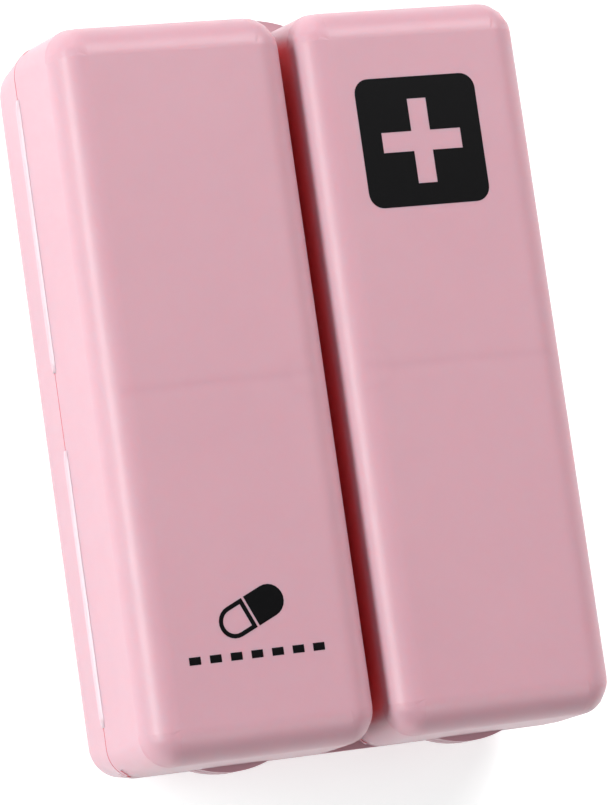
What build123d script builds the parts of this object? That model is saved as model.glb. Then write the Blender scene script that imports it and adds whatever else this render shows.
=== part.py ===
from build123d import *
import math
import os

# Folding seven-cell pill case with a pill splitter inside it: one wide back tray and two
# wing trays that fold over its front like shutters.  Millimetres.  +X is across the case,
# +Y is along it, +Z points away from the surface that it lies on.  The origin is the centre
# of the flat back face, and the case is folded shut.

os.makedirs("parts", exist_ok=True)

# ---- driving dimensions -------------------------------------------------------------------
case_length = 104.0
case_width = 71.6
case_depth = 34.0
split_height = case_depth / 2      # the plane where the wings meet the back tray
rim_gap = 0.2                      # daylight between the two rims when folded shut
wing_gap = 0.9                     # slit between the two wings

wall = 1.7
face_wall = 1.6
plan_corner = 4.4
wing_round = 4.8                   # the round along a wing's face
wing_inset = 0.6                   # how much narrower a wing's face is than its rim, each side
back_round = 9.4                   # the palm-friendly round along the back face
back_inset = 1.3
cell_corner = 3.0

lip = 0.7                          # rim material that holds a lid down
lid_thickness = 1.2
lid_slot = 1.4
lid_bite = 1.0                     # how far the side grooves reach past the cell
lid_play = 0.15
lid_head_inset = 0.1               # how far a lid's head stays inside the tray's skin
tab_reach = 0.9                    # how far a finger tab stands out of the end
tab_width = 10.0
thumb_tab_reach = 1.95             # the one wide tab, on the back tray's upper lid
thumb_tab_width = 16.0
tab_root = 0.5                     # overlap of a tab with the head behind it

station_half = 12.2                # half the length of the splitter station, along Y
station_wall = 2.0
band_half = 3.4                    # half the cross band of a wing, along Y
trough_half = 2.0
trough_depth = 8.1
slot_step = 1.0                    # ledge that a lid's inner end rests on

magnet_diameter = 5.0
magnet_thickness = 2.0
magnet_chamfer = 0.25
magnet_play = 0.03
magnet_x = 5.0
glue_room = 0.1                    # under a magnet, at the bottom of its pocket
post_diameter = 7.0
post_inset = 0.3
wing_boss_depth = 6.0              # a wing's magnet sits in a short boss on its inner wall

blade_length = 12.6
blade_x = 19.2                     # middle of the blade
blade_thickness = 0.45
blade_edge_height = 3.6
blade_bevel = 1.3
blade_grip = 6.9                   # depth of the blade inside its holder
blade_play = 0.01
blade_top_room = 0.05

holder_start = 8.9
holder_end = 30.6
holder_inset = 0.5
holder_play = 0.1
holder_corner = 0.5
screw_places = (10.7, 28.6)
screw_head = 3.0
screw_head_height = 1.2
screw_head_play = 0.1
screw_sink = 0.2                   # how far a head lies below the holder's surface
screw_shank = 1.6
screw_shank_play = 0.05
screw_thread_play = 0.02           # round the shank, where its thread is left out
screw_length = 11.0
screw_tip_room = 0.5
drive_span = 1.9                   # the cross recess in a head
drive_width = 0.45
drive_depth = 0.6

seat_start = 9.8
seat_end = 27.8
seat_half = 9.2
seat_height = 9.4
seat_base = 2.6
seat_corner = 1.2
vee_start = 8.8
vee_mouth_half = 7.6               # half the width of the vee at its open end
vee_apex = 25.9
vee_apex_half = 0.4
blade_slot_end = 26.6
blade_slot_half = 0.5
blade_slot_room = 0.8              # below the blade's edge when the wing is shut

hinge_length = 39.0
hinge_middle = 25.0                # distance of a hinge strip's middle from the case's middle
hinge_inner = 0.3
hinge_outer = 0.6

# ---- values worked out from them ----------------------------------------------------------
tray_depth = split_height - rim_gap / 2
wing_width = (case_width - wing_gap) / 2
wing_x = (case_width + wing_gap) / 4
cell_depth = tray_depth - face_wall
back_half = case_width / 2 - back_inset - wall
back_cell_end = case_length / 2 - back_inset - wall
wing_half = wing_width / 2 - wing_inset - wall
wing_cell_end = case_length / 2 - wing_inset - wall
station_end = station_half + station_wall
back_lid_start = station_end - slot_step
wing_lid_start = post_diameter / 2
lid_level = lip + (lid_slot - lid_thickness) / 2
lid_top = lid_level + lid_thickness
over = 20.0                        # a cutter's length past the case

back_place = Location((0, 0, tray_depth), (180, 0, 0))
wing_places = {
    "left": Location((-wing_x, 0, split_height + rim_gap / 2)),
    "right": Location((wing_x, 0, split_height + rim_gap / 2)),
}


# ---- shapes that several sub-parts share --------------------------------------------------
# A tray is drawn with its rim on Z = 0 and its face at Z = tray_depth.
def rises(edge):
    """True for an edge that climbs from the rim towards the face."""
    return abs(edge.tangent_at(0.5).Z) > 0.3


def moulded_block(width, face_round, inset):
    """A drafted block: the large round along its face comes first, then its four corners."""
    with BuildPart() as block:
        with BuildSketch():
            Rectangle(width, case_length)
        extrude(amount=tray_depth, taper=math.degrees(math.atan(inset / tray_depth)))
        fillet(block.faces().sort_by(Axis.Z)[-1].edges(), face_round)
        fillet(block.edges().filter_by(rises), plan_corner)
    return block.part


def cell_core(half_width, start, end, floor_round):
    """The space of one cell, between two places along Y."""
    with BuildPart() as core:
        with BuildSketch():
            with Locations((0, (start + end) / 2)):
                Rectangle(2 * half_width, end - start)
        extrude(amount=cell_depth)
        fillet(core.faces().sort_by(Axis.Z)[-1].edges(), floor_round)
        fillet(core.edges().filter_by(rises), min(cell_corner, floor_round))
    return core.part


def station_core():
    """The space of the splitter station: only its two ends are rounded into the floor."""
    with BuildPart() as core:
        with BuildSketch():
            Rectangle(2 * back_half, 2 * station_half)
        extrude(amount=cell_depth)
        ends = core.faces().sort_by(Axis.Z)[-1].edges().filter_by(Axis.Y)
        fillet(ends, back_round - face_wall)
    return core.part


def lid_way(half_width, start, cell_end):
    """The channel that a sliding lid runs in, open through the +Y end of the tray."""
    slot_half = half_width + lid_bite
    with BuildPart() as way:
        with BuildSketch(Plane.XY.offset(lip)):
            with Locations((0, start + over * 2)):
                Rectangle(2 * slot_half, over * 4)
        extrude(amount=lid_slot)
        with BuildSketch():
            with Locations((0, cell_end + over / 2 - cell_corner)):
                Rectangle(2 * half_width, over)
        extrude(amount=lip)
    return way.part


def sliding_lid(width, half_width, start, cell_end, tabs, reach=tab_reach, chord=tab_width):
    """A flat lid whose +Y end closes the end wall, with finger tabs on that end."""
    head_width = width - 2 * lid_head_inset
    head_length = case_length - 2 * lid_head_inset
    radius = ((chord / 2) ** 2 + reach**2) / (2 * reach)
    with BuildPart() as lid:
        with BuildSketch(Plane.XY.offset(lid_level)):
            RectangleRounded(head_width, head_length, plan_corner)
            with Locations((0, start + lid_play + over * 2)):
                Rectangle(2 * (half_width + lid_bite - lid_play), over * 4, mode=Mode.INTERSECT)
        extrude(amount=lid_thickness)
        with BuildSketch(Plane.XY.offset(lid_head_inset)):
            RectangleRounded(head_width, head_length, plan_corner)
            with Locations((0, cell_end + lid_play + over / 2)):
                Rectangle(2 * (half_width - lid_play), over, mode=Mode.INTERSECT)
        extrude(amount=lid_top - lid_head_inset)
        with BuildSketch(Plane.XY.offset(lid_head_inset)):
            with Locations(*[(x, case_length / 2 + reach - radius) for x in tabs]):
                Circle(radius)
            with Locations((0, case_length / 2 - tab_root + over / 2)):
                Rectangle(2 * width, over, mode=Mode.INTERSECT)
        extrude(amount=lid_top - lid_head_inset)
    return lid.part


def magnet_post(x, depth):
    """A round post that ends just inside the rim."""
    with BuildPart() as post:
        with BuildSketch(Plane.XY.offset(post_inset)):
            with Locations((x, 0)):
                Circle(post_diameter / 2)
        extrude(amount=depth - post_inset)
    return post.part


def magnet_pocket(x):
    """The pocket for one disc magnet in the end of its post."""
    with BuildPart() as pocket:
        with BuildSketch():
            with Locations((x, 0)):
                Circle(magnet_diameter / 2 + magnet_play)
        extrude(amount=post_inset + magnet_thickness + glue_room)
    return pocket.part


# ---- back tray ----------------------------------------------------------------------------
with BuildPart() as back_tray:
    with Locations(back_place):
        add(moulded_block(case_width, back_round, back_inset))
        core = cell_core(back_half, station_end, back_cell_end, back_round - face_wall)
        way = lid_way(back_half, back_lid_start, back_cell_end)
        for turn in (0, 180):
            add(core.rotate(Axis.Z, turn), mode=Mode.SUBTRACT)
            add(way.rotate(Axis.Z, turn), mode=Mode.SUBTRACT)
        add(station_core(), mode=Mode.SUBTRACT)
        for x in (-magnet_x, magnet_x):
            add(magnet_post(x, cell_depth + face_wall / 2))
        for x in (-magnet_x, magnet_x):
            add(magnet_pocket(x), mode=Mode.SUBTRACT)
back_tray.part.label = "back_tray"
export_step(back_tray.part, "parts/back_tray.step")

# ---- wing trays ---------------------------------------------------------------------------
for side, place in wing_places.items():
    inward = 1 if side == "left" else -1
    trough_start = holder_start - holder_play - wing_x
    trough_end = holder_end + holder_play - wing_x
    boss_x = inward * (wing_x - magnet_x)
    with BuildPart() as wing_tray:
        with Locations(place):
            add(moulded_block(wing_width, wing_round, wing_inset))
            core = cell_core(wing_half, band_half, wing_cell_end, wing_round - face_wall)
            way = lid_way(wing_half, wing_lid_start, wing_cell_end)
            for turn in (0, 180):
                add(core.rotate(Axis.Z, turn), mode=Mode.SUBTRACT)
                add(way.rotate(Axis.Z, turn), mode=Mode.SUBTRACT)
            add(magnet_post(boss_x, wing_boss_depth))
            add(magnet_pocket(boss_x), mode=Mode.SUBTRACT)
        # the trough that cores the band out, and its deeper middle
        with BuildSketch(Plane(place)):
            with Locations((-inward * (trough_start + trough_end) / 2, 0)):
                Rectangle(trough_end - trough_start, 2 * trough_half)
        extrude(amount=trough_depth, mode=Mode.SUBTRACT)
        with BuildSketch(Plane(place)):
            with Locations((-inward * (blade_x - wing_x), 0)):
                Rectangle(blade_length, 2 * trough_half)
        extrude(amount=cell_depth, mode=Mode.SUBTRACT)
        # only the right wing carries the blade, so only its band is drilled
        if side == "right":
            with BuildSketch(Plane(place)):
                with Locations(*[(x - wing_x, 0) for x in screw_places]):
                    Circle(screw_shank / 2 + screw_thread_play)
            drill_depth = holder_inset + screw_sink + screw_length + screw_tip_room
            extrude(amount=drill_depth, mode=Mode.SUBTRACT)
    wing_tray.part.label = side + "_wing_tray"
    export_step(wing_tray.part, "parts/" + side + "_wing_tray.step")

# ---- sliding lids -------------------------------------------------------------------------
back_lids = {
    "upper": sliding_lid(
        case_width, back_half, back_lid_start, back_cell_end, (0,), thumb_tab_reach, thumb_tab_width
    ),
    "lower": sliding_lid(
        case_width, back_half, back_lid_start, back_cell_end, (-wing_x, wing_x)
    ),
}
for end, turn in (("upper", 0), ("lower", 180)):
    with BuildPart() as back_lid:
        with Locations(back_place):
            add(back_lids[end].rotate(Axis.Z, turn + 180))
    back_lid.part.label = "back_" + end + "_lid"
    export_step(back_lid.part, "parts/back_" + end + "_lid.step")
    for side, place in wing_places.items():
        with BuildPart() as wing_lid:
            with Locations(place):
                lid = sliding_lid(wing_width, wing_half, wing_lid_start, wing_cell_end, (0,))
                add(lid.rotate(Axis.Z, turn))
        wing_lid.part.label = side + "_" + end + "_lid"
        export_step(wing_lid.part, "parts/" + side + "_" + end + "_lid.step")

# ---- hinge strips -------------------------------------------------------------------------
for side, sign in (("left", -1), ("right", 1)):
    for end, middle in (("upper", hinge_middle), ("lower", -hinge_middle)):
        strip_plane = Plane(
            origin=(sign * case_width / 2, middle - hinge_length / 2, split_height),
            x_dir=(sign, 0, 0),
            z_dir=(0, 1, 0),
        )
        with BuildPart() as strip:
            with BuildSketch(strip_plane):
                Circle(hinge_outer)
                Circle(hinge_inner, mode=Mode.SUBTRACT)
                with Locations((hinge_outer / 2, 0)):
                    Rectangle(hinge_outer, 2 * hinge_outer, mode=Mode.INTERSECT)
            extrude(amount=hinge_length)
        strip.part.label = side + "_hinge_" + end
        export_step(strip.part, "parts/" + side + "_hinge_" + end + ".step")

# ---- blade --------------------------------------------------------------------------------
holder_level = split_height + rim_gap / 2 + holder_inset
blade_top = holder_level + blade_grip
with BuildPart() as blade:
    with BuildSketch(Plane.YZ.offset(blade_x - blade_length / 2)):
        with BuildLine():
            Polyline(
                (-blade_thickness / 2, blade_top),
                (blade_thickness / 2, blade_top),
                (blade_thickness / 2, blade_edge_height + blade_bevel),
                (0, blade_edge_height),
                (-blade_thickness / 2, blade_edge_height + blade_bevel),
                close=True,
            )
        make_face()
    extrude(amount=blade_length)
blade.part.label = "blade"
export_step(blade.part, "parts/blade.step")

# ---- blade holder -------------------------------------------------------------------------
holder_height = trough_depth - holder_inset
with BuildPart() as blade_holder:
    with BuildSketch(Plane.XY.offset(holder_level)):
        with Locations(((holder_start + holder_end) / 2, 0)):
            Rectangle(holder_end - holder_start, 2 * (trough_half - holder_play))
    extrude(amount=holder_height)
    fillet(blade_holder.edges().filter_by(Axis.Z), holder_corner)
    with BuildSketch(Plane.XY.offset(holder_level)):
        with Locations((blade_x, 0)):
            Rectangle(blade_length + 2 * blade_play, blade_thickness + 2 * blade_play)
    extrude(amount=blade_grip + blade_top_room, mode=Mode.SUBTRACT)
    with BuildSketch(Plane.XY.offset(holder_level)):
        with Locations(*[(x, 0) for x in screw_places]):
            Circle(screw_shank / 2 + screw_shank_play)
    extrude(amount=holder_height, mode=Mode.SUBTRACT)
    with BuildSketch(Plane.XY.offset(holder_level)):
        with Locations(*[(x, 0) for x in screw_places]):
            Circle(screw_head / 2 + screw_head_play)
    extrude(amount=screw_head_height + screw_sink, mode=Mode.SUBTRACT)
blade_holder.part.label = "blade_holder"
export_step(blade_holder.part, "parts/blade_holder.step")

# ---- blade holder screws ------------------------------------------------------------------
with BuildPart() as blade_holder_screws:
    screw_level = holder_level + screw_sink
    with BuildSketch(Plane.XY.offset(screw_level)):
        with Locations(*[(x, 0) for x in screw_places]):
            Circle(screw_head / 2)
    extrude(amount=screw_head_height)
    with BuildSketch(Plane.XY.offset(screw_level)):
        with Locations(*[(x, 0) for x in screw_places]):
            Circle(screw_shank / 2)
    extrude(amount=screw_length)
    with BuildSketch(Plane.XY.offset(screw_level)):
        with Locations(*[(x, 0) for x in screw_places]):
            Rectangle(drive_span, drive_width)
            Rectangle(drive_width, drive_span)
    extrude(amount=drive_depth, mode=Mode.SUBTRACT)
blade_holder_screws.part.label = "blade_holder_screws"
export_step(blade_holder_screws.part, "parts/blade_holder_screws.step")

# ---- pill seat ----------------------------------------------------------------------------
with BuildPart() as pill_seat:
    with BuildSketch(Plane.XY.offset(face_wall)):
        with Locations(((seat_start + seat_end) / 2, 0)):
            Rectangle(seat_end - seat_start, 2 * seat_half)
    extrude(amount=seat_height)
    fillet(pill_seat.edges().filter_by(Axis.Z), seat_corner)
    # the vee that centres a tablet under the blade
    with BuildSketch(Plane.XY.offset(face_wall + seat_base)):
        with BuildLine():
            Polyline(
                (vee_start, -vee_mouth_half),
                (vee_apex, -vee_apex_half),
                (vee_apex, vee_apex_half),
                (vee_start, vee_mouth_half),
                close=True,
            )
        make_face()
    extrude(amount=seat_height, mode=Mode.SUBTRACT)
    # the slot that the blade's edge runs into
    with BuildSketch(Plane.XY.offset(blade_edge_height - blade_slot_room)):
        with Locations(((vee_start + blade_slot_end) / 2, 0)):
            Rectangle(blade_slot_end - vee_start, 2 * blade_slot_half)
    extrude(amount=seat_height + over, mode=Mode.SUBTRACT)
    # its foot follows the rounded floor of the tray
    with Locations(back_place):
        add(station_core(), mode=Mode.INTERSECT)
pill_seat.part.label = "pill_seat"
export_step(pill_seat.part, "parts/pill_seat.step")

# ---- magnets ------------------------------------------------------------------------------
magnet_levels = {
    "back": tray_depth - post_inset - magnet_thickness,
    "wing": split_height + rim_gap / 2 + post_inset,
}
for side, x in (("left", -magnet_x), ("right", magnet_x)):
    for holder, level in magnet_levels.items():
        name = "back_" + side + "_magnet" if holder == "back" else side + "_wing_magnet"
        with BuildPart() as magnet:
            with BuildSketch(Plane.XY.offset(level)):
                with Locations((x, 0)):
                    Circle(magnet_diameter / 2)
            extrude(amount=magnet_thickness)
            chamfer(magnet.edges().filter_by(GeomType.CIRCLE), magnet_chamfer)
        magnet.part.label = name
        export_step(magnet.part, "parts/" + name + ".step")
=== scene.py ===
# %% [markdown]
# # A folding pill case with a splitter inside
# The case is three moulded trays: a wide back tray, and two wing trays that fold over its
# front.  The trays, lids, blade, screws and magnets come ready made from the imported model.
# This script gives each of them its finish, and adds what is printed, moulded or bent on the
# real thing: the two prints, the grip ribs, the ejector marks and the hinge films.

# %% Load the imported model
import math

import bmesh
import bpy
from mathutils import Matrix, Vector


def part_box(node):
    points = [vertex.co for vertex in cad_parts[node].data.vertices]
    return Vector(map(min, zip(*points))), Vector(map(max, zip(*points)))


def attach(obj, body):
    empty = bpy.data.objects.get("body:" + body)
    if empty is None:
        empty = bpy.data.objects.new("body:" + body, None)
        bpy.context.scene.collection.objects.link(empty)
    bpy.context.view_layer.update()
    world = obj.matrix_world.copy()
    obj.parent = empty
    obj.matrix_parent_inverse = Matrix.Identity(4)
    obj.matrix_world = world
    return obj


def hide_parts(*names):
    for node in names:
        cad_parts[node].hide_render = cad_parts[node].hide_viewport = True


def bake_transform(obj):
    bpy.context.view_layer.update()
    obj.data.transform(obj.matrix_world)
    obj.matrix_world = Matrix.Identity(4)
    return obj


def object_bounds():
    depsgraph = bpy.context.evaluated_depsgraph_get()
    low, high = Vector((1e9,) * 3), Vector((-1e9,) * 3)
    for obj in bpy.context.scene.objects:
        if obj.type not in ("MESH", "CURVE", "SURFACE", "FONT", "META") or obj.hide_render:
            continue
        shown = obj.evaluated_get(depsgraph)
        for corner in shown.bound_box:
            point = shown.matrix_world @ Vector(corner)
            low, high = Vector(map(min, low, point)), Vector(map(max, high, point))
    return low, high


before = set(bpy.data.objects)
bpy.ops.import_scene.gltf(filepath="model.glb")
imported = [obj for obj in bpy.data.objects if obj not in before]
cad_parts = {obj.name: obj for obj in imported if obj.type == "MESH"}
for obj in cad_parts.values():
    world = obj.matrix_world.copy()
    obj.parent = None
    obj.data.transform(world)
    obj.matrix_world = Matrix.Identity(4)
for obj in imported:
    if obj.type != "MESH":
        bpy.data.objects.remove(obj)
cad_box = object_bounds()
# The plain view transform, because the filmic ones turn a pale pink grey.
bpy.context.scene.view_settings.view_transform = "Standard"
MM = 0.001

back_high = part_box("back_tray")[1]
left_low, left_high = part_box("left_wing_tray")
right_low, right_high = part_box("right_wing_tray")
FACE = right_high.z                           # the level of the wings' faces
SPLIT = (back_high.z + right_low.z) / 2       # the level where the wings meet the back tray
print("case, mm:", [round((b - a) / MM, 1) for a, b in zip(*cad_box)])

# %% [markdown]
# ## Sums that become nodes
# A finish is mostly arithmetic on the place of a point.  Wrapping a socket in a small class
# lets that arithmetic be written as a sum, and each operator adds its own Math node.  Every
# other node, in a material or in a geometry tree, comes from one function.


# %% Adding a node
def plug(tree, place, operand):
    """Links a value to a socket, or sets the socket to a plain number or colour."""
    if isinstance(operand, Value):
        tree.links.new(operand.socket, place)
    else:
        place.default_value = operand


def add_node(tree, kind, settings, values, out=0):
    """Any node: its settings first, then the values or links of its sockets."""
    node = tree.nodes.new(kind)
    for name, setting in settings.items():
        setattr(node, name, setting)
    for name, value in values.items():
        plug(tree, node.inputs[name], value)
    return Value(tree, node.outputs[out])


# %% A value inside a tree
class Value:
    """One output socket, with the operators that the finishes use."""

    def __init__(self, tree, socket):
        self.tree, self.socket = tree, socket

    def math(self, operation, *operands):
        settings = {"operation": operation}
        return add_node(self.tree, "ShaderNodeMath", settings, dict(enumerate(operands)))

    def __add__(self, other):
        return self.math("ADD", self, other)

    def __sub__(self, other):
        return self.math("SUBTRACT", self, other)

    def __rsub__(self, other):
        return self.math("SUBTRACT", other, self)

    def __mul__(self, other):
        return self.math("MULTIPLY", self, other)

    def __truediv__(self, other):
        return self.math("DIVIDE", self, other)

    def __abs__(self):
        return self.math("ABSOLUTE", self)

    __radd__ = __add__
    __rmul__ = __mul__

    def bell(self, width):
        """1 where the value is 0, fading to nothing over about twice the width."""
        square = (self / width) * (self / width)
        return self.math("EXPONENT", square * -1.0)

    def step(self, low, high):
        """0 below low, 1 above high, smooth in between."""
        settings = {"interpolation_type": "SMOOTHSTEP"}
        values = {"Value": self, "From Min": low, "From Max": high}
        return add_node(self.tree, "ShaderNodeMapRange", settings, values, "Result")


# %% A finish: one material with its Principled shader
NOISE_MIDDLE = 0.5


class Finish:
    """A new material. Its point's place on the object is in x, y and z, in millimetres."""

    def __init__(self, name, color, roughness, **constants):
        self.material = bpy.data.materials.new(name)
        self.material.use_nodes = True
        self.material.diffuse_color = (*color, 1.0)
        self.tree = self.material.node_tree
        self.shader = self.tree.nodes["Principled BSDF"]
        self.set("Base Color", (*color, 1.0))
        self.set("Roughness", roughness)
        for socket, constant in constants.items():
            self.set(socket.replace("_", " ").title().replace("Ior", "IOR"), constant)
        self.place = self.node("ShaderNodeTexCoord", {}, {}, "Object")
        split = self.node("ShaderNodeSeparateXYZ", {}, {0: self.place}, "X")
        outputs = split.socket.node.outputs
        self.x, self.y, self.z = [Value(self.tree, outputs[i]) * (1 / MM) for i in range(3)]
        print("finish:", name)

    def set(self, socket, value):
        plug(self.tree, self.shader.inputs[socket], value)

    def node(self, kind, settings, values, out):
        return add_node(self.tree, kind, settings, values, out)

    def stretched(self, scale):
        """The place, scaled by a different amount along each axis."""
        return self.node("ShaderNodeMapping", {}, {"Vector": self.place, "Scale": scale}, 0)

    def noise(self, size, detail=2.0, at=None):
        """Noise from 0 to 1 whose blotches are about size millimetres across."""
        values = {"Vector": at or self.place, "Scale": 1 / (size * MM), "Detail": detail}
        return self.node("ShaderNodeTexNoise", {}, values, "Fac")

    def mix(self, factor, first, second):
        """A colour between two colours, which are inputs 6 and 7 of the node."""
        values = {"Factor": factor, 6: first, 7: second}
        return self.node("ShaderNodeMix", {"data_type": "RGBA"}, values, 2)

    def bump(self, height):
        """Height is in millimetres."""
        values = {"Height": height, "Distance": MM}
        self.set("Normal", self.node("ShaderNodeBump", {}, values, "Normal"))


# %% [markdown]
# ## The trays: satin polypropylene
# The trays are moulded from a powdery pink polypropylene.  The mould is spark eroded, so the
# skin has a very fine grain and a wide, soft highlight.  Behind a thick rib the plastic
# shrinks as it sets, which leaves a faint dent on the face: each wing shows one across its
# middle, where the band between its two cells stands, and a round one over its magnet.  The
# dents are bumps, and the darker tone along them is painted shade.
#
# Light that finds its way into the slit between the wings has passed through pink walls many
# times over, and comes out deep red.  Tracing that takes far more bounces than a render has,
# so an Ambient Occlusion node finds the plastic that is shut in within a few millimetres, and
# paints it deep red.  This is painted shade, in the slit and also along the seams and where
# the case meets the table.

# %% Pink polypropylene
PINK = (0.535, 0.283, 0.335)
PINK_DEEP = (0.500, 0.255, 0.307)
BLOTCH_SIZE, BLOTCH_TONE = 22.0, 0.8
CLOUD_SIZE, CLOUD_TONE = 3.5, 0.35
MIDDLE_TONE = 0.35
GRAIN_SIZE, GRAIN_HEIGHT = 0.16, 0.0035
RIPPLE_SIZE, RIPPLE_HEIGHT = 9.0, 0.012
SATIN, SATIN_CLOUD, SATIN_GRAIN = 0.40, 0.07, 0.03

# %% Shrink marks, in millimetres
SINK_DEPTH = 0.02
SINK_WIDTH = 0.75
SINK_Y = -0.1                      # the dent's line across a wing
SINK_RISE = 0.9                    # how far that line curves up beside the slit
SINK_CURVE = (1.0, 9.0)            # over this distance from the case's middle
# How much painted shade darkens the dent's line across a wing.
SINK_PAINTED_SHADE = 0.45
MAGNET_X = 5.0
MAGNET_RING, MAGNET_RING_WIDTH = 3.0, 0.8
# The second number is how much painted shade darkens the magnet's ring.
MAGNET_DEPTH, MAGNET_PAINTED_SHADE = 0.25, 0.2
ON_FACE = (0.6, 0.2)               # the marks fade out between these depths below the face

# %% Painted red shade in the slit and other shut-in places
SLIT_SHADE_RED = (0.72, 0.03, 0.035)
SLIT_REACH = 3.0
SLIT_SHUT_IN = (0.30, 0.80)        # the tint sets in between these parts of a hidden sky
SLIT_SAMPLES = 8


# %% The finish of each tray
def moulded_pink(name, sink_marks):
    finish = Finish(
        name, PINK, 0.43,
        subsurface_weight=0.45,
        subsurface_radius=(1.0, 0.07, 0.06),
        subsurface_scale=2.4 * MM,
        ior=1.49,
        sheen_weight=0.15,
        sheen_roughness=0.5,
    )
    blotch = finish.noise(BLOTCH_SIZE, 2.0)
    cloud = finish.noise(CLOUD_SIZE, 3.0)
    uneven = (blotch - NOISE_MIDDLE) * BLOTCH_TONE + (cloud - NOISE_MIDDLE) * CLOUD_TONE
    tone = uneven + MIDDLE_TONE
    grain = finish.noise(GRAIN_SIZE, 2.0)
    ripple = finish.noise(RIPPLE_SIZE, 1.0)
    height = grain * GRAIN_HEIGHT + ripple * RIPPLE_HEIGHT
    if sink_marks:
        near_slit = 1.0 - abs(finish.x).step(*SINK_CURVE)
        on_face = finish.z.step(*[FACE / MM - depth for depth in ON_FACE])
        line = (finish.y - SINK_Y - near_slit * SINK_RISE).bell(SINK_WIDTH)
        along = finish.x - MAGNET_X if sink_marks == "right" else finish.x + MAGNET_X
        square = along * along + finish.y * finish.y
        from_magnet = square.math("SQRT", square)
        ring = (from_magnet - MAGNET_RING).bell(MAGNET_RING_WIDTH)
        height = height - (line + ring * MAGNET_DEPTH) * on_face * SINK_DEPTH
        # The dents are bumps. The darker tone along the line and the ring is painted shade of the
        # dents.
        tone = tone + (line * SINK_PAINTED_SHADE + ring * MAGNET_PAINTED_SHADE) * on_face
    pink = finish.mix(tone, (*PINK, 1.0), (*PINK_DEEP, 1.0))
    # Painted shade: plastic that the Ambient Occlusion node finds shut in is painted deep red.
    settings, values = {"samples": SLIT_SAMPLES}, {"Distance": SLIT_REACH * MM}
    sky = finish.node("ShaderNodeAmbientOcclusion", settings, values, "AO")
    slit = (1.0 - sky).step(*SLIT_SHUT_IN)
    finish.set("Base Color", finish.mix(slit, pink, (*SLIT_SHADE_RED, 1.0)))
    finish.set("Roughness", SATIN + cloud * SATIN_CLOUD + grain * SATIN_GRAIN)
    finish.bump(height)
    return finish.material


pink_left = moulded_pink("pink_polypropylene_left_wing", "left")
pink_right = moulded_pink("pink_polypropylene_right_wing", "right")
pink_plain = moulded_pink("pink_polypropylene", None)

# %% [markdown]
# ## The hinge films, lids and seat
# A living hinge is the same plastic, but so thin that it is paler and a little shinier.  Its
# colour is also lifted paler than that, as painted light that offsets the shade beside the
# proud film.  The lids are a see-through grade of the same pink, cloudy along the way the
# plastic flowed, and clear enough to show which cell is empty.  The seat is soft silicone
# rubber, which scatters almost all of the light and holds fine dust.

# %% Paler film, partly painted light
# Both colours are paler than the trays. Part of that is the thin plastic, and part is painted
# light against the shade beside the film.
FILM_DARK = (0.60, 0.38, 0.43, 1.0)
FILM_PALE = (0.68, 0.46, 0.51, 1.0)
ALONG_HINGE = (1.0, 0.08, 1.0)


def thin_film():
    finish = Finish(
        "pink_hinge_film", (0.56, 0.33, 0.38), 0.34,
        subsurface_weight=0.3,
        subsurface_radius=(1.0, 0.3, 0.25),
        subsurface_scale=1.0 * MM,
        ior=1.49,
    )
    creases = finish.noise(0.5, 2.0, finish.stretched(ALONG_HINGE))
    finish.set("Roughness", 0.28 + creases * 0.16)
    finish.set("Base Color", finish.mix(creases, FILM_DARK, FILM_PALE))
    finish.bump(creases * 0.02)
    return finish.material


film = thin_film()

# %% Translucent lids
LID_PALE = (0.68, 0.38, 0.44, 1.0)
LID_DEEP = (0.60, 0.31, 0.37, 1.0)
ALONG_FLOW = (1.0, 0.35, 1.0)


def translucent_pink():
    finish = Finish(
        "translucent_pink_polypropylene", (0.66, 0.36, 0.42), 0.36,
        transmission_weight=0.35,
        ior=1.49,
    )
    flow = finish.noise(14.0, 3.0, finish.stretched(ALONG_FLOW))
    grain = finish.noise(0.2, 2.0)
    finish.set("Base Color", finish.mix(flow, LID_PALE, LID_DEEP))
    finish.set("Roughness", 0.30 + flow * 0.10 + grain * 0.05)
    finish.bump(grain * 0.004 + flow * 0.01)
    return finish.material


lid_pink = translucent_pink()

# %% Silicone rubber
SEAT_GREY = (0.47, 0.49, 0.51, 1.0)
DUST_GREY = (0.60, 0.61, 0.62, 1.0)
DUSTY = (0.52, 0.75)


def silicone():
    finish = Finish(
        "grey_silicone", (0.50, 0.52, 0.54), 0.62,
        subsurface_weight=0.1,
        subsurface_radius=(0.6, 0.6, 0.6),
        subsurface_scale=1.0 * MM,
        sheen_weight=0.15,
    )
    dust = finish.noise(1.2, 4.0)
    skin = finish.noise(0.25, 2.0)
    finish.set("Base Color", finish.mix(dust.step(*DUSTY), SEAT_GREY, DUST_GREY))
    finish.set("Roughness", 0.56 + dust * 0.16)
    finish.bump(skin * 0.012)
    return finish.material


rubber = silicone()

# %% [markdown]
# ## Metals and the holder
# The blade is ground along its length, so its scratches are long in x and short in z, and
# the bevel is polished brighter than the flats.  The screws are zinc plated, and the magnets
# nickel plated.  The holder is a white nylon bar, faintly rough from its mould.

# %% Ground steel
BLADE_BEVEL = 1.3                  # height of the bevel above the blade's edge
BEVEL_BLUR = 0.1
BEVEL_BRIGHT = (0.86, 0.87, 0.88, 1.0)
FLAT_GREY = (0.68, 0.69, 0.71, 1.0)
ALONG_GRIND = (0.03, 1.0, 1.0)


def ground_steel(edge_height):
    finish = Finish("ground_stainless_steel", (0.72, 0.73, 0.75), 0.25, metallic=1.0)
    scratches = finish.noise(0.12, 3.0, finish.stretched(ALONG_GRIND))
    bevel_top = edge_height + BLADE_BEVEL
    flat = finish.z.step(bevel_top - BEVEL_BLUR, bevel_top + BEVEL_BLUR)
    finish.set("Roughness", 0.10 + flat * 0.16 + scratches * flat * 0.14)
    finish.set("Base Color", finish.mix(flat, BEVEL_BRIGHT, FLAT_GREY))
    finish.bump(scratches * flat * 0.006)
    return finish.material


steel = ground_steel(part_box("blade")[0].z / MM)

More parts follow.
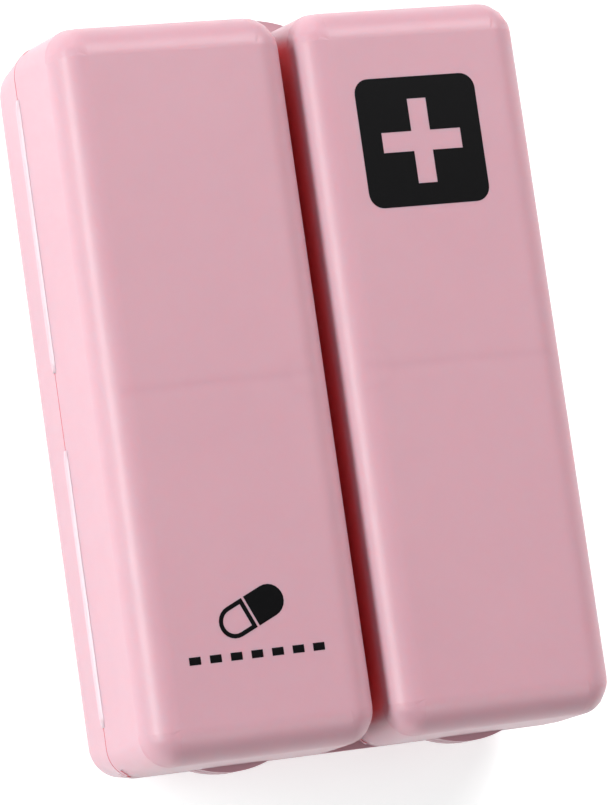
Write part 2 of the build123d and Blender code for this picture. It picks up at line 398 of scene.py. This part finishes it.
# %% Plated metal
SPECKLE_SIZE = 0.35
DULL = 0.82                        # how dark a dull speck is beside clean plating
SPECKLED = (0.45, 0.7)


def plated(name, color, roughness, pit):
    finish = Finish(name, color, roughness, metallic=1.0)
    speckle = finish.noise(SPECKLE_SIZE, 3.0)
    dull = tuple(DULL * c for c in color)
    finish.set("Base Color", finish.mix(speckle.step(*SPECKLED), (*color, 1.0), (*dull, 1.0)))
    finish.set("Roughness", roughness + speckle * 0.14)
    finish.bump(speckle * pit)
    return finish.material


zinc = plated("zinc_plate", (0.74, 0.75, 0.77), 0.28, 0.006)
nickel = plated("nickel_plate", (0.70, 0.68, 0.65), 0.18, 0.003)

# %% Nylon
NYLON_PALE = (0.82, 0.81, 0.78, 1.0)
NYLON_DEEP = (0.75, 0.74, 0.71, 1.0)


def white_nylon():
    finish = Finish(
        "white_nylon", (0.80, 0.79, 0.76), 0.5,
        subsurface_weight=0.1,
        subsurface_radius=(0.8, 0.8, 0.7),
        subsurface_scale=1.0 * MM,
    )
    cloud = finish.noise(2.5, 3.0)
    finish.set("Base Color", finish.mix(cloud, NYLON_PALE, NYLON_DEEP))
    finish.set("Roughness", 0.44 + cloud * 0.12)
    finish.bump(finish.noise(0.2, 2.0) * 0.006)
    return finish.material


nylon = white_nylon()

# %% [markdown]
# ## Ink
# The prints are pad printed.  That ink lies on the plastic as a film a few hundredths of a
# millimetre thick, nearly black and hardly glossy, with pinholes too small to see one by one.

# %% Black ink
INK_BLACK = (0.0014, 0.0012, 0.0016, 1.0)
INK_THIN = (0.003, 0.0025, 0.003, 1.0)
PINHOLED = (0.55, 0.8)


def pad_ink():
    finish = Finish("black_pad_ink", (0.002, 0.0015, 0.002), 0.5, ior=1.2)
    speckle = finish.noise(0.3, 4.0)
    finish.set("Base Color", finish.mix(speckle.step(*PINHOLED), INK_BLACK, INK_THIN))
    finish.set("Roughness", 0.36 + speckle * 0.14)
    finish.bump(speckle * 0.004)
    return finish.material


ink = pad_ink()

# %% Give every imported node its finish
FINISHES = {
    "back_tray": pink_plain,
    "left_wing_tray": pink_left,
    "right_wing_tray": pink_right,
    "pill_seat": rubber,
    "blade": steel,
    "blade_holder": nylon,
    "blade_holder_screws": zinc,
}
for name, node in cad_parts.items():
    if name.endswith("_lid"):
        finish = lid_pink
    elif name.endswith("_magnet"):
        finish = nickel
    elif "_hinge_" in name:
        finish = film
    else:
        finish = FINISHES[name]
    node.data.materials.clear()
    node.data.materials.append(finish)
print("finished nodes:", len(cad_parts))


# %% [markdown]
# ## The printed badge and mark
# Each print is a flat outline.  A 2D curve fills its splines and leaves a spline inside
# another one open, which is just how the plus is left bare inside the square.  The curve is
# made a mesh before it is put in its place on the wing's face.

# %% Outlines, in millimetres
def arc(middle, radius, start, sweep, steps):
    """Points along an arc, from the start angle on, in degrees."""
    points = []
    for i in range(steps + 1):
        angle = math.radians(start + sweep * i / steps)
        points.append((middle[0] + radius * math.cos(angle), middle[1] + radius * math.sin(angle)))
    return points


def rounded_outline(side, radius, steps=8):
    """The points of a rounded square about the origin."""
    inset = side / 2 - radius
    points = []
    for sx, sy, start in ((1, 1, 0), (-1, 1, 90), (-1, -1, 180), (1, -1, 270)):
        points += arc((sx * inset, sy * inset), radius, start, 90, steps)
    return points


def plus_outline(span, bar):
    """The twelve points of a plus about the origin."""
    a, b = span / 2, bar / 2
    points = []
    for turn in range(4):
        for x, y in ((a, -b), (a, b), (b, b)):
            for _ in range(turn):
                x, y = -y, x
            points.append((x, y))
    return points


def half_capsule(length, width, steps=12):
    """Half a capsule: flat at x = 0, round at x = length."""
    radius = width / 2
    return [(0.0, -radius), *arc((length - radius, 0.0), radius, -90, 180, steps), (0.0, radius)]


# %% Laying ink on a wing
INK_THICKNESS = 0.03
INK_SINK = 0.01
WELD = 1e-7                        # metres within which two points are one


def add_piece(name, mesh, finish):
    """A new object at the origin, whose place is in its mesh."""
    mesh.materials.clear()
    mesh.materials.append(finish)
    piece = bpy.data.objects.new(name, mesh)
    bpy.context.scene.collection.objects.link(piece)
    print(name, "faces:", len(mesh.polygons))
    return piece


def flat_print(name, outlines, centre, body, turn=0.0):
    """Fills outlines, given in millimetres, and lays them on a wing's face at centre."""
    curve = bpy.data.curves.new(name, "CURVE")
    curve.dimensions = "2D"
    curve.fill_mode = "BOTH"
    curve.extrude = INK_THICKNESS * MM / 2
    for outline in outlines:
        spline = curve.splines.new("POLY")
        spline.points.add(len(outline) - 1)
        for point, (x, y) in zip(spline.points, outline):
            point.co = (x * MM, y * MM, 0, 1)
        spline.use_cyclic_u = True
    source = bpy.data.objects.new(name + "_outline", curve)
    bpy.context.scene.collection.objects.link(source)
    bpy.context.view_layer.update()
    mesh = bpy.data.meshes.new_from_object(source)
    bpy.data.objects.remove(source)
    level = FACE + (INK_THICKNESS / 2 - INK_SINK) * MM
    place = Matrix.Translation((centre[0], centre[1], level))
    mesh.transform(place @ Matrix.Rotation(turn, 4, "Z"))
    shape = bmesh.new()
    shape.from_mesh(mesh)
    bmesh.ops.remove_doubles(shape, verts=shape.verts, dist=WELD)
    bmesh.ops.recalc_face_normals(shape, faces=shape.faces)
    shape.to_mesh(mesh)
    shape.free()
    piece = add_piece(name, mesh, ink)
    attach(piece, body)


# %% The badge on the right wing
BADGE = 18.6
BADGE_CORNER = 2.2
BADGE_LEFT_OF_MIDDLE = 0.7
BADGE_Y = 31.5
PLUS_SPAN = 12.2
PLUS_BAR = 2.9
right_middle = (right_low.x + right_high.x) / 2
flat_print(
    "plus_badge",
    [rounded_outline(BADGE, BADGE_CORNER), plus_outline(PLUS_SPAN, PLUS_BAR)],
    (right_middle - BADGE_LEFT_OF_MIDDLE * MM, BADGE_Y * MM),
    "right_wing",
)

# %% [markdown]
# On the lower left wing stands a mark of this model's own: a capsule, half of it open, above
# a row of seven dashes, one for each cell.  The dashes repeat, so Geometry Nodes make them.

# %% The capsule on the left wing
MARK_LEFT_OF_MIDDLE = 0.1
MARK_Y = -31.9
CAPSULE_LENGTH = 10.4
CAPSULE_WIDTH = 4.6
CAPSULE_LINE = 0.62
CAPSULE_GAP = 0.35                 # between the full half and the open half
CAPSULE_TURN = math.radians(24)
left_middle = (left_low.x + left_high.x) / 2
mark_centre = (left_middle - MARK_LEFT_OF_MIDDLE * MM, MARK_Y * MM)


def open_half(inset):
    """The open half's edge, moved in by inset on every side."""
    length = CAPSULE_LENGTH / 2 - CAPSULE_GAP - 2 * inset
    half = half_capsule(length, CAPSULE_WIDTH - 2 * inset)
    return [(-x - CAPSULE_GAP - inset, y) for x, y in half]


flat_print(
    "capsule_mark",
    [half_capsule(CAPSULE_LENGTH / 2, CAPSULE_WIDTH), open_half(0.0), open_half(CAPSULE_LINE)],
    mark_centre,
    "left_wing",
    CAPSULE_TURN,
)

# %% [markdown]
# ## Geometry Nodes for what repeats
# One small tree makes a row of equal bars: a bar is a line swept with a round profile and
# pressed flatter, and it is instanced on a line of points.  Its inputs are the number, the
# spacing, the size of a bar and its finish, so the same tree makes the dashes of the mark and
# the grip ribs of the lids.  Instances are made real, because an export keeps only real faces.


# %% How every tree starts and ends
def new_tree(name, sizes):
    """A geometry tree, and its inputs by name: each size, and the finish."""
    tree = bpy.data.node_groups.new(name, "GeometryNodeTree")
    add_socket = tree.interface.new_socket
    add_socket(name="Geometry", in_out="OUTPUT", socket_type="NodeSocketGeometry")
    for size, (kind, default) in sizes.items():
        item = add_socket(name=size, in_out="INPUT", socket_type="NodeSocket" + kind)
        item.default_value = default
    add_socket(name="Finish", in_out="INPUT", socket_type="NodeSocketMaterial")
    start = tree.nodes.new("NodeGroupInput")
    return tree, {s.name: Value(tree, s) for s in start.outputs if s.name}


def end_tree(tree, points, shape, finish):
    """Puts the shape on every point, makes the copies real and gives them their finish."""
    values = {"Points": points, "Instance": shape}
    copies = add_node(tree, "GeometryNodeInstanceOnPoints", {}, values, "Instances")
    real = add_node(tree, "GeometryNodeRealizeInstances", {}, {"Geometry": copies})
    values = {"Geometry": real, "Material": finish}
    painted = add_node(tree, "GeometryNodeSetMaterial", {}, values)
    end = tree.nodes.new("NodeGroupOutput")
    tree.links.new(painted.socket, end.inputs["Geometry"])
    return tree


# %% A tree for rows of bars
BAR_SIDES = 12


def bar_row_tree():
    tree, sizes = new_tree("bar_row", {
        "Count": ("Int", 5),
        "Spacing": ("Vector", (0.0, MM, 0.0)),
        "Bar": ("Vector", (MM, 0.0, 0.0)),
        "Radius": ("Float", 0.2 * MM),
        "Flatness": ("Float", 1.0),
    })
    values = {"Count": sizes["Count"], "Offset": sizes["Spacing"]}
    places = add_node(tree, "GeometryNodeMeshLine", {"mode": "OFFSET"}, values)
    path = add_node(tree, "GeometryNodeCurvePrimitiveLine", {}, {"End": sizes["Bar"]})
    values = {"Resolution": BAR_SIDES, "Radius": sizes["Radius"]}
    profile = add_node(tree, "GeometryNodeCurvePrimitiveCircle", {}, values)
    values = {"Fill Caps": True, "Curve": path, "Profile Curve": profile}
    sweep = add_node(tree, "GeometryNodeCurveToMesh", {}, values)
    values = {"X": 1.0, "Y": 1.0, "Z": sizes["Flatness"]}
    squeeze = add_node(tree, "ShaderNodeCombineXYZ", {}, values)
    values = {"Geometry": sweep, "Scale": squeeze}
    bar = add_node(tree, "GeometryNodeTransform", {}, values)
    return end_tree(tree, places, bar, sizes["Finish"])


bar_row = bar_row_tree()


# %% Running a tree
def grown(tree, name, **inputs):
    """Runs a tree on an empty mesh with these inputs, and returns the result as a plain mesh."""
    host = bpy.data.objects.new(name + "_host", bpy.data.meshes.new(name + "_host"))
    bpy.context.scene.collection.objects.link(host)
    modifier = host.modifiers.new("grow", "NODES")
    modifier.node_group = tree
    for item in tree.interface.items_tree:
        if item.in_out == "INPUT" and item.name in inputs:
            modifier[item.identifier] = inputs[item.name]
    bpy.context.view_layer.update()
    evaluated = host.evaluated_get(bpy.context.evaluated_depsgraph_get())
    mesh = bpy.data.meshes.new_from_object(evaluated)
    mesh.name = name
    bpy.data.objects.remove(host)
    return mesh


def placed(meshes, name, body, finish):
    """Joins meshes, each with its place, into one piece that rides on a body."""
    joined = bmesh.new()
    for mesh, place in meshes:
        mesh.transform(Matrix.Translation(place))
        joined.from_mesh(mesh)
    whole = bpy.data.meshes.new(name)
    joined.to_mesh(whole)
    joined.free()
    # A grown mesh keeps an empty slot before its finish, and the joined one has only the finish.
    for face in whole.polygons:
        face.material_index = 0
    piece = add_piece(name, whole, finish)
    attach(piece, body)


# %% The seven dashes under the capsule
DASHES = 7
DASH_LENGTH = 1.7
DASH_SPACING = 3.05
DASH_RADIUS = 0.55
DASH_FLATNESS = 0.05
DASHES_BELOW_MARK = 5.9
row_width = DASH_SPACING * (DASHES - 1) + DASH_LENGTH
dash_mesh = grown(
    bar_row, "cell_dashes",
    Count=DASHES,
    Spacing=(DASH_SPACING * MM, 0.0, 0.0),
    Bar=(DASH_LENGTH * MM, 0.0, 0.0),
    Radius=DASH_RADIUS * MM,
    Flatness=DASH_FLATNESS,
    Finish=ink,
)
dash_place = (mark_centre[0] - row_width * MM / 2, mark_centre[1] - DASHES_BELOW_MARK * MM, FACE)
placed([(dash_mesh, dash_place)], "cell_dashes", "left_wing", ink)

# %% [markdown]
# ## Grip ribs
# A lid has to be pushed out with one fingertip, so its outer end carries a few low ribs
# behind the tab.  They stand on the side that a finger meets when the tray is open, which is
# the underside of a folded wing's lid and the top of the back tray's lids.  The back tray's
# lower lid has two tabs, and so two sets of ribs.

# %% Ribs on each lid
RIBS = 5
RIB_LENGTH = 9.0
RIB_SPACING = 1.5
RIB_RADIUS = 0.32
RIB_FLATNESS = 0.8
RIB_FROM_END = 3.6
LID_EDGE = 0.70                    # from the tab's flat side to the lid's outer side


def grip_ribs(name, body):
    low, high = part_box(name)
    upper = name.split("_")[1] == "upper"
    level = high.z - LID_EDGE * MM if name.startswith("back") else low.z + LID_EDGE * MM
    first = high.y - RIB_FROM_END * MM if upper else low.y + RIB_FROM_END * MM
    toward_middle = -RIB_SPACING * MM if upper else RIB_SPACING * MM
    two_tabs = name == "back_lower_lid"
    columns = [left_middle, right_middle] if two_tabs else [(low.x + high.x) / 2]
    meshes = []
    for column in columns:
        mesh = grown(
            bar_row, name + "_ribs",
            Count=RIBS,
            Spacing=(0.0, toward_middle, 0.0),
            Bar=(RIB_LENGTH * MM, 0.0, 0.0),
            Radius=RIB_RADIUS * MM,
            Flatness=RIB_FLATNESS,
            Finish=lid_pink,
        )
        meshes.append((mesh, (column - RIB_LENGTH * MM / 2, first, level)))
    placed(meshes, name + "_grip_ribs", body, lid_pink)


for side in ("back", "left", "right"):
    for end in ("upper", "lower"):
        grip_ribs(side + "_" + end + "_lid", side + "_" + end + "_lid")

# %% [markdown]
# ## Ejector marks
# Pins push a moulded tray out of its mould, and each pin leaves a shallow ring in the floor
# of a cell.  The rings stand on a grid, so a second tree puts one circle, swept with a hair
# thin profile, on every point of a grid.  Half of each ring is sunk into the floor.

# %% A tree for rings on a grid
RING_SIDES = 40
BEAD_SIDES = 8


def ring_grid_tree():
    tree, sizes = new_tree("ring_grid", {
        "Columns": ("Int", 2),
        "Rows": ("Int", 2),
        "Width": ("Float", 10 * MM),
        "Length": ("Float", 10 * MM),
        "Radius": ("Float", 2 * MM),
        "Bead": ("Float", 0.1 * MM),
    })
    values = {
        "Vertices X": sizes["Columns"], "Vertices Y": sizes["Rows"],
        "Size X": sizes["Width"], "Size Y": sizes["Length"],
    }
    grid = add_node(tree, "GeometryNodeMeshGrid", {}, values)
    values = {"Resolution": RING_SIDES, "Radius": sizes["Radius"]}
    circle = add_node(tree, "GeometryNodeCurvePrimitiveCircle", {}, values)
    values = {"Resolution": BEAD_SIDES, "Radius": sizes["Bead"]}
    profile = add_node(tree, "GeometryNodeCurvePrimitiveCircle", {}, values)
    values = {"Curve": circle, "Profile Curve": profile}
    ring = add_node(tree, "GeometryNodeCurveToMesh", {}, values)
    return end_tree(tree, grid, ring, sizes["Finish"])


ring_grid = ring_grid_tree()

# %% Rings in the floor of each cell
FLOOR = 1.6                        # thickness of a cell's floor
RING_RADIUS = 1.75
RING_BEAD = 0.09
RING_ROWS = 2
BACK_RINGS = (3, 42.0, 13.0, 31.6)     # columns, grid width, grid length, and a cell's middle
WING_RINGS = (2, 17.0, 29.0, 26.5)


def ejector_marks(body, column, level, rings, finish):
    columns, width, length, cell_middle = rings
    meshes = []
    for middle_y in (-cell_middle, cell_middle):
        mesh = grown(
            ring_grid, body + "_rings",
            Columns=columns,
            Rows=RING_ROWS,
            Width=width * MM,
            Length=length * MM,
            Radius=RING_RADIUS * MM,
            Bead=RING_BEAD * MM,
            Finish=finish,
        )
        meshes.append((mesh, (column, middle_y * MM, level)))
    placed(meshes, body + "_ejector_marks", body, finish)


ejector_marks("back_case", 0.0, FLOOR * MM, BACK_RINGS, pink_plain)
ejector_marks("left_wing", left_middle, FACE - FLOOR * MM, WING_RINGS, pink_left)
ejector_marks("right_wing", right_middle, FACE - FLOOR * MM, WING_RINGS, pink_right)

# %% [markdown]
# ## Hinge films
# A living hinge bends when a wing opens.  Here the rigid imported film nodes are hidden, and
# each film is drawn as a thin web that bulges out of the wall and runs flat into both rims,
# with many small steps around its bend.  An outer and an inner skin meet at its edges and its
# ends are capped, so it is a closed solid.

# %% The web's sizes
FILM_OUTER = 0.42
FILM_INNER = 0.16
FILM_HALF_HEIGHT = 0.60
FILM_INNER_HALF_HEIGHT = 0.30
FILM_STEPS = 14
FILM_SEGMENTS = 26
FILM_END_ROUND = 1.2               # the bulge grows over this length from each end
FILM_END_SWELL = 0.35              # and starts at this part of its full size


def film_profile(swell):
    """Outer then inner skin, as (outward, upward) in millimetres, both flat at their ends."""
    turns = [math.radians(-90 + 180 * i / FILM_STEPS) for i in range(FILM_STEPS + 1)]
    outer = [
        (FILM_OUTER * swell * math.cos(t) ** 2, FILM_HALF_HEIGHT * math.sin(t))
        for t in turns
    ]
    inner = [
        (FILM_INNER * swell * math.cos(t) ** 2, FILM_INNER_HALF_HEIGHT * math.sin(t))
        for t in reversed(turns)
    ]
    return outer + inner


# %% Drawing the films
def film_rings(shape, low_y, length, wall_x, outward):
    """Rings of points, one for each step along the hinge."""
    rings = []
    for i in range(FILM_SEGMENTS + 1):
        along = length * i / FILM_SEGMENTS
        from_end = min(along, length - along)
        grow = math.sin(min(1.0, from_end / FILM_END_ROUND) * math.pi / 2)
        swell = FILM_END_SWELL + (1 - FILM_END_SWELL) * grow
        rings.append([
            shape.verts.new((wall_x + outward * out * MM, low_y + along * MM, SPLIT + up * MM))
            for out, up in film_profile(swell)
        ])
    return rings


def hinge_film(name, side):
    low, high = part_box(name)
    outward = -1 if side == "left" else 1
    wall_x = high.x if side == "left" else low.x
    shape = bmesh.new()
    rings = film_rings(shape, low.y, (high.y - low.y) / MM, wall_x, outward)
    count = len(rings[0])
    for first, second in zip(rings, rings[1:]):
        for i in range(count):
            j = (i + 1) % count
            shape.faces.new((first[i], first[j], second[j], second[i]))
    for ring in (rings[0], rings[-1]):
        for i in range(FILM_STEPS):
            j = count - 1 - i
            shape.faces.new((ring[i], ring[i + 1], ring[j - 1], ring[j]))
    bmesh.ops.recalc_face_normals(shape, faces=shape.faces)
    for face in shape.faces:
        face.smooth = True
    mesh = bpy.data.meshes.new(name + "_film")
    shape.to_mesh(mesh)
    shape.free()
    piece = add_piece(name + "_film", mesh, film)
    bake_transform(piece)
    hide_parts(name)


for side in ("left", "right"):
    for end in ("upper", "lower"):
        hinge_film(side + "_hinge_" + end, side)

# %% [markdown]
# ## Stage, light and camera
# The case lies on a white table that glows faintly, so that it stays white up to the edges of
# the picture.  A long soft light low on the left makes the side wall and the rounded edge of
# each wing pale.  Two beyond the upper end light the faces evenly and a strip there lifts the
# top edges, one low on the right keeps the far edge from going grey, and a weak one near the
# lower end fills the shadows.

# %% The table
HALF_TABLE = 3.0
TABLE_LEVEL = -0.03 * MM           # a hair below the case, so that the two don't flicker
TABLE_WHITE = 0.85
TABLE_GLOW = 0.35
corners = [(-1, -1), (1, -1), (1, 1), (-1, 1)]
table_mesh = bpy.data.meshes.new("table")
table_mesh.from_pydata(
    [(x * HALF_TABLE, y * HALF_TABLE, TABLE_LEVEL) for x, y in corners], [], [(0, 1, 2, 3)]
)
table_finish = Finish(
    "white_table", (TABLE_WHITE,) * 3, 0.6,
    emission_color=(1.0, 1.0, 1.0, 1.0),
    emission_strength=TABLE_GLOW,
)
paper = table_finish.noise(40.0, 3.0)
table_finish.set("Roughness", 0.55 + paper * 0.1)
add_piece("table", table_mesh, table_finish.material)

# %% The lights
WHITE = (1.0, 1.0, 1.0)
COOL_WHITE = (0.87, 1.0, 0.98)
WORLD_STRENGTH = 0.05
LIGHTS = (
    # name, place and size in metres, power in watts, colour
    ("left_softbox", (-0.80, 0.05, 0.40), (0.8, 0.14), 10.8, COOL_WHITE),
    ("upper_softbox", (0.35, 0.66, 0.88), (0.4, 0.4), 4.8, WHITE),
    ("upper_right_softbox", (0.55, 0.60, 0.70), (0.4, 0.4), 4.0, WHITE),
    ("upper_end_strip", (-0.20, 0.90, 0.28), (0.5, 0.15), 2.2, WHITE),
    ("right_strip", (0.80, 0.10, 0.20), (0.9, 0.2), 1.5, WHITE),
    ("lower_fill", (0.40, -0.55, 0.82), (0.3, 0.3), 2.6, WHITE),
)


def soft_light(name, place, size, power, color):
    """A rectangular light that faces the middle of the case. Its width stays level."""
    light = bpy.data.lights.new(name, "AREA")
    light.shape = "RECTANGLE"
    light.size, light.size_y = size
    light.energy = power
    light.color = color
    lamp = bpy.data.objects.new(name, light)
    bpy.context.scene.collection.objects.link(lamp)
    lamp.location = place
    lamp.rotation_mode = "QUATERNION"
    middle = (cad_box[0] + cad_box[1]) / 2
    lamp.rotation_quaternion = (middle - Vector(place)).to_track_quat("-Z", "Y")


for row in LIGHTS:
    soft_light(*row)
world = bpy.data.worlds.new("studio")
world.use_nodes = True
background = world.node_tree.nodes["Background"]
background.inputs["Color"].default_value = (*WHITE, 1.0)
background.inputs["Strength"].default_value = WORLD_STRENGTH
bpy.context.scene.world = world
print("lights:", len(LIGHTS))

# %% [markdown]
# A long lens from well above the case, tipped so that the case leans to the left.  The camera
# is turned by the two directions that its right and its top point in.

# %% The camera
LENS = 196.4
SENSOR = 36.0
CAMERA_PLACE = (-0.23649, -0.06958, 0.59322)
CAMERA_RIGHT = (0.92094, -0.14096, 0.36331)
CAMERA_UP = (0.09043, 0.98414, 0.15263)
camera_data = bpy.data.cameras.new("camera")
camera_data.lens = LENS
camera_data.sensor_fit = "AUTO"
camera_data.sensor_width = SENSOR
camera_data.clip_start = 0.01
camera_data.clip_end = 20.0
camera = bpy.data.objects.new("camera", camera_data)
bpy.context.scene.collection.objects.link(camera)
camera.location = CAMERA_PLACE
right_way, up_way = Vector(CAMERA_RIGHT), Vector(CAMERA_UP)
back_way = right_way.cross(up_way)
camera.rotation_mode = "QUATERNION"
camera.rotation_quaternion = Matrix((right_way, up_way, back_way)).transposed().to_quaternion()
bpy.context.scene.camera = camera
